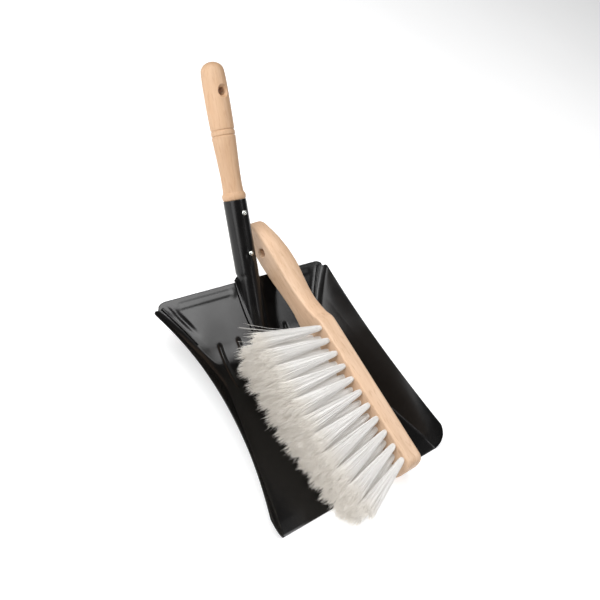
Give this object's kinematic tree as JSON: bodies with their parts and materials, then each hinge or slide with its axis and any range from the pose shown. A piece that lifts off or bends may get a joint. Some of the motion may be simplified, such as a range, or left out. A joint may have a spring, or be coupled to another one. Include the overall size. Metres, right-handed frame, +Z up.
{
  "type": "dust pan and brush set",
  "caption": "Hand dust pan of folded black sheet steel with a socketed turned beech handle, and a tufted beech hand brush lying in it.",
  "frame": {"origin": "bottom middle of the whole set's box, level with the surface it stands on", "axes": "+Z up, +Y from the pan's front lip towards its handle, +X to the side the brush block lies on"},
  "size_m": [0.2472, 0.4496, 0.2048],
  "materials": {
    "black_paint": "gloss",
    "beech": "satin",
    "bright_steel": "bright",
    "white_fibre": "matte synthetic bristle"
  },
  "bodies": {
    "pan": {"pan_tray": "black_paint", "corner_lap_left": "black_paint", "corner_lap_right": "black_paint", "handle_socket": "black_paint", "rivet_upper": "bright_steel", "rivet_lower": "bright_steel", "pan_handle": "beech"},
    "brush": {"brush_block": "beech", "tuft_1_01": "white_fibre", "tuft_1_02": "white_fibre", "tuft_1_03": "white_fibre", "tuft_1_04": "white_fibre", "tuft_1_05": "white_fibre", "tuft_1_06": "white_fibre", "tuft_1_07": "white_fibre", "tuft_1_08": "white_fibre", "tuft_1_09": "white_fibre", "tuft_1_10": "white_fibre", "tuft_1_11": "white_fibre", "tuft_2_01": "white_fibre", "tuft_2_02": "white_fibre", "tuft_2_03": "white_fibre", "tuft_2_04": "white_fibre", "tuft_2_05": "white_fibre", "tuft_2_06": "white_fibre", "tuft_2_07": "white_fibre", "tuft_2_08": "white_fibre", "tuft_2_09": "white_fibre", "tuft_2_10": "white_fibre", "tuft_3_01": "white_fibre", "tuft_3_02": "white_fibre", "tuft_3_03": "white_fibre", "tuft_3_04": "white_fibre", "tuft_3_05": "white_fibre", "tuft_3_06": "white_fibre", "tuft_3_07": "white_fibre", "tuft_3_08": "white_fibre", "tuft_3_09": "white_fibre", "tuft_3_10": "white_fibre", "tuft_3_11": "white_fibre", "tuft_4_01": "white_fibre", "tuft_4_02": "white_fibre", "tuft_4_03": "white_fibre", "tuft_4_04": "white_fibre", "tuft_4_05": "white_fibre", "tuft_4_06": "white_fibre", "tuft_4_07": "white_fibre", "tuft_4_08": "white_fibre", "tuft_4_09": "white_fibre", "tuft_4_10": "white_fibre"}
  },
  "joints": [
    {"name": "brush_lift", "type": "slide", "parent": "pan", "child": "brush", "axis": [0, 0, 1], "range_m": [0, 0.3]}
  ]
}
